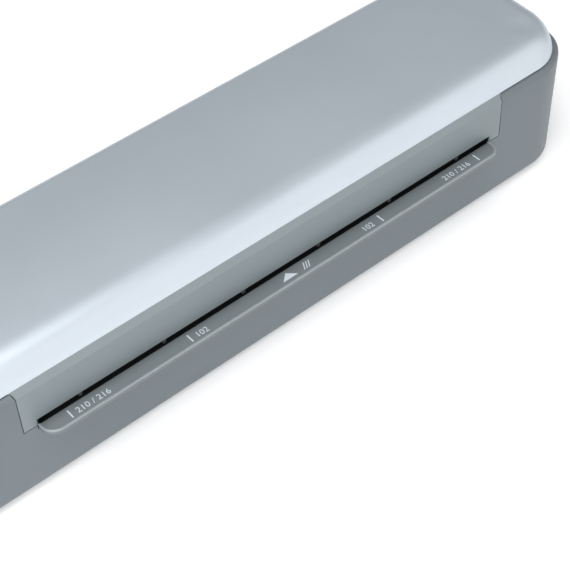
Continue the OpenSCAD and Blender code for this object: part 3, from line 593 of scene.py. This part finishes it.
def make_fascia():
    """The insert above the slot: a flat face, a bevel along its top, and a leg at each end of the slot."""
    face_top = PART - BEVEL_H
    rows = [SLOT_LOW, SLOT_HIGH, SLOT_HIGH + 6, face_top - 0.5, face_top] + flare_heights()[2:]
    columns = [-1, -SLOT_HALF / FASCIA_HALF] + [i / 8 * SLOT_HALF / FASCIA_HALF for i in range(-7, 8)]
    columns += [SLOT_HALF / FASCIA_HALF, 1]

    def place(u, z):
        wide = flare(z) if abs(u) == 1 else 0.0
        x = u * FASCIA_HALF + math.copysign(wide, u)
        if z <= face_top:
            return (x, wall_y(z), z)
        return (x, COVER_FRONT + (wall_y(face_top) - COVER_FRONT) * (PART - z) / (PART - face_top), z)

    verts = [place(u, z) for z in rows for u in columns]
    n = len(columns)
    faces = []
    for r in range(len(rows) - 1):
        for c in range(n - 1):
            if r == 0 and 0 < c < n - 2:
                continue
            faces.append((r * n + c, r * n + c + 1, (r + 1) * n + c + 1, (r + 1) * n + c))
    obj = new_object("fascia_shell", verts, faces)
    work = bmesh.new()
    work.from_mesh(obj.data)
    loose = [v for v in work.verts if not v.link_faces]
    bmesh.ops.delete(work, geom=loose, context="VERTS")
    bmesh.ops.recalc_face_normals(work, faces=work.faces)
    if sum(f.normal.y for f in work.faces) > 0:
        bmesh.ops.reverse_faces(work, faces=work.faces)
    work.to_mesh(obj.data)
    work.free()
    thick = obj.modifiers.new("thick", "SOLIDIFY")
    thick.thickness = FASCIA_WALL * MM
    thick.offset = -1
    apply_modifiers(obj)
    round_edges(obj, 0.55, 4, 30)
    finish_piece(obj, "fascia_plastic", "chassis", "front_fascia", 50)


SHELF_RISE = math.tan(math.radians(5))
SHELF_CORNER = 6.5
RIM_R = 0.62
RIM_LIFT = 0.3


def shelf_z(y):
    """The shelf dips a little towards the slot."""
    return SLOT_LOW - SHELF_RISE * (y - wall_y(SLOT_LOW))


def shelf_rim(r, steps=14):
    """The shelf's edge from its left end, round the front, to its right end."""
    left = [(-SLOT_HALF + r - r * math.cos(math.radians(90 * i / steps)),
             shelf_lo.y + r - r * math.sin(math.radians(90 * i / steps))) for i in range(steps + 1)]
    return left + [(-x, y) for x, y in reversed(left)]


def make_rim():
    """The bead along the shelf's edge, in a lighter copy of the shelf's plastic: a painted highlight."""
    path = [(-SLOT_HALF, wall_y(SLOT_LOW))] + shelf_rim(SHELF_CORNER) + [(SLOT_HALF, wall_y(SLOT_LOW))]
    rings = []
    for i, (x, y) in enumerate(path):
        ax, ay = path[max(0, i - 1)]
        bx, by = path[min(len(path) - 1, i + 1)]
        along = Vector((bx - ax, by - ay, 0)).normalized()
        out = along.cross(Vector((0, 0, 1)))
        centre = Vector((x, y, shelf_z(y) + RIM_LIFT - RIM_R)) - out * RIM_R
        rings.append([centre + RIM_R * (math.cos(a) * out + math.sin(a) * Vector((0, 0, 1)))
                      for a in (2 * math.pi * k / 20 for k in range(20))])
    obj = skin("shelf_rim", rings)
    tidy_mesh(obj)
    finish_piece(obj, "shelf_plastic", "chassis", "feed_shelf", 60)
    # The bead takes the lighter copy of the shelf's plastic, a painted highlight along the rim
    obj.data.materials[0] = MATERIALS["rim_painted_highlight"]


def make_slot_painted_shade():
    """A black floor behind the slot, set lower than the shelf and rising again to the pouch path: painted
    shade for the dark inside of the slot.
    """
    front, back = wall_y(SLOT_LOW) + 0.3, shelf_hi.y
    top = [(front, SLOT_LOW - 2.2), (front + 3, SLOT_LOW - 2.2), (front + 7, SLOT_LOW - 0.2),
           (back, SLOT_LOW + 0.2)]
    profile = [(front, SLOT_LOW - 2.5), (back, SLOT_LOW - 1.2)] + top[::-1]
    inner = SLOT_HALF - 0.8
    well = skin("well", [[(x, y, z) for y, z in profile] for x in (-inner, inner)])
    # Black cheeks that close the ends of the slot, painted shade over the insides of its ends
    cheeks = [block(min(a, b), max(a, b), front, front + 4, SLOT_LOW - 2.4, SLOT_HIGH - 0.1)
              for a, b in ((-inner, -inner - 0.7), (inner, inner + 0.7))]
    obj = join("slot_painted_shade", [well] + cheeks)
    tidy_mesh(obj)
    round_edges(obj, 0.12, 2, 15)
    # Black plastic here is painted shade inside the slot
    finish_piece(obj, "black_plastic", "chassis", "feed_shelf", 45)


def make_shelf():
    back = wall_y(SLOT_LOW) + 0.3
    plan = [(SLOT_HALF, back), (-SLOT_HALF, back)] + shelf_rim(SHELF_CORNER)
    obj = prism(plan, -2.5, 0, "shelf_shell")
    tidy_mesh(obj)
    round_edges(obj, 0.9, 4, 40)
    for v in obj.data.vertices:
        x, y, z = v.co / MM
        lift = shelf_z(y) if y < wall_y(SLOT_LOW) + 6 else shelf_z(wall_y(SLOT_LOW) + 6)
        v.co.z = (min(z + lift, CROWN)) * MM
    finish_piece(obj, "shelf_plastic", "chassis", "feed_shelf", 45)


def mark(outline_points, thickness=0.08):
    """A thin printed shape on the shelf, from plan points."""
    bottom = [(x, y, shelf_z(y) - 0.02) for x, y in outline_points]
    top = [(x, y, shelf_z(y) + thickness) for x, y in outline_points]
    return skin("mark", [bottom, top])


def digits(text, x, y, size):
    """Printed numbers that lie on the shelf."""
    data = bpy.data.curves.new("digits", "FONT")
    data.body = text
    data.size = size * MM
    data.extrude = 0.03 * MM
    data.resolution_u = 3
    data.align_x = "LEFT"
    obj = bpy.data.objects.new("digits", data)
    bpy.context.scene.collection.objects.link(obj)
    bpy.context.view_layer.update()
    mesh = bpy.data.meshes.new_from_object(obj.evaluated_get(bpy.context.evaluated_depsgraph_get()))
    bpy.data.objects.remove(obj)
    for v in mesh.vertices:
        py = y + v.co.y / MM
        v.co = Vector((x + v.co.x / MM, py, shelf_z(py) + 0.05 + v.co.z / MM)) * MM
    out = bpy.data.objects.new("digits", mesh)
    bpy.context.scene.collection.objects.link(out)
    return out


def join(name, parts):
    """One object made of several, which are deleted."""
    work = bmesh.new()
    for part in parts:
        work.from_mesh(part.data)
    for part in parts:
        bpy.data.objects.remove(part)
    mesh = bpy.data.meshes.new(name)
    bmesh.ops.remove_doubles(work, verts=work.verts, dist=1e-7)
    bmesh.ops.recalc_face_normals(work, faces=work.faces)
    work.to_mesh(mesh)
    work.free()
    obj = bpy.data.objects.new(name, mesh)
    bpy.context.scene.collection.objects.link(obj)
    return obj


# Half the width of each pouch that the ticks stand for
WIDE_POUCH, NARROW_POUCH = 107.95, 50.8
DIGIT_SIZE = 4.1


def make_marks():
    """Ticks for two pouch widths, a feed arrow, three slanting bars and the widths in millimetres."""
    edge = wall_y(SLOT_LOW)
    near, far = edge - 1.8, edge - 6.2
    parts = []
    for half in (WIDE_POUCH, NARROW_POUCH):
        for x in (-half, half):
            parts.append(mark([(x - 0.3, far), (x + 0.3, far), (x + 0.3, near), (x - 0.3, near)]))
    parts.append(mark([(-3.9, edge - 5.4), (3.9, edge - 5.4), (0, near)]))
    near, far = edge - 2.0, edge - 5.6
    for i in range(3):
        x = 7.2 + i * 1.3
        parts.append(mark([(x, far), (x + 0.5, far), (x + 2.5, near), (x + 2.0, near)]))
    for text, x in (("210 / 216", -105.4), ("210 / 216", 87.4), ("102", -48.2), ("102", 40.4)):
        parts.append(digits(text, x, edge - 5.7, DIGIT_SIZE))
    finish_piece(join("printed_marks", parts), "print_ink", "chassis", None, 60)


# ---------------------------------------------------------------- springs

def make_springs():
    """The carriage's springs as wound wire."""
    lo, hi = (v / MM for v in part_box("pressure_springs"))
    wire, turns, steps, sides = 0.5, 4, 24, 10
    coil_r = (hi.y - lo.y) / 2 - wire
    coils = []
    for sx in (-1, 1):
        centre = Vector((sx * (hi.x - coil_r - wire), (lo.y + hi.y) / 2, 0))
        rings = []
        for i in range(turns * steps + 1):
            a = 2 * math.pi * i / steps
            out = Vector((math.cos(a), math.sin(a), 0))
            at = centre + out * coil_r
            at.z = lo.z + wire + (hi.z - lo.z - 2 * wire) * i / (turns * steps)
            rings.append([tuple(at + out * wire * math.cos(b) + Vector((0, 0, wire * math.sin(b))))
                          for b in (2 * math.pi * k / sides for k in range(sides))])
        coils.append(skin("coil", rings))
    for coil in coils:
        tidy_mesh(coil, 0.0001)
    obj = join("spring_coils", coils)
    finish_piece(obj, slots["pressure_springs"], "chassis", "pressure_springs", 40)
    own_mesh(obj)


# ---------------------------------------------------------------- build

MATERIALS = {}
make_camera()
MATERIALS.update(make_materials())
make_world()
make_floor()
area_light("overhead", (-0.5, -0.2, 1.5), (0, 0, 0), (1.3, 1.3), 22)
area_light("front_left", (-1.3, -1.0, 0.9), (0, 0, 0.04), (0.9, 0.9), 9.5)
# A tall wall of light for the sheen on the cover's roll only
sheen = area_light("roll_sheen", (0.6, -1.05, 0.88), (0.05, 0, 0.88), (3.4, 1.9), 17.5, (1, 0.985, 0.96))
sheen.visible_diffuse = sheen.visible_camera = False

slots = {row["node"]: row["material_slot"] for row in frame["record"]["subparts"]}
for name, obj in frame["nodes"].items():
    obj.data.materials.clear()
    obj.data.materials.append(MATERIALS[slots[name]])
    for face in obj.data.polygons:
        face.material_index = 0

make_lower_case()
finish_cover(make_top_cover())
make_fascia()
make_shelf()
make_rim()
make_slot_painted_shade()
make_marks()
make_springs()
for name, width, body in (("exit_bezel", 0.4, "chassis"), ("control_panel", 0.3, "chassis"),
                          ("rubber_feet", 0.5, "chassis"), ("cord_gland", 0.5, "chassis"),
                          ("led_lenses", 0.3, "chassis"), ("release_lever", 0.5, "release"),
                          ("power_rocker", 0.4, "rocker")):
    refined(name, width, slots[name], body)

bpy.context.scene.view_settings.view_transform = "Standard"
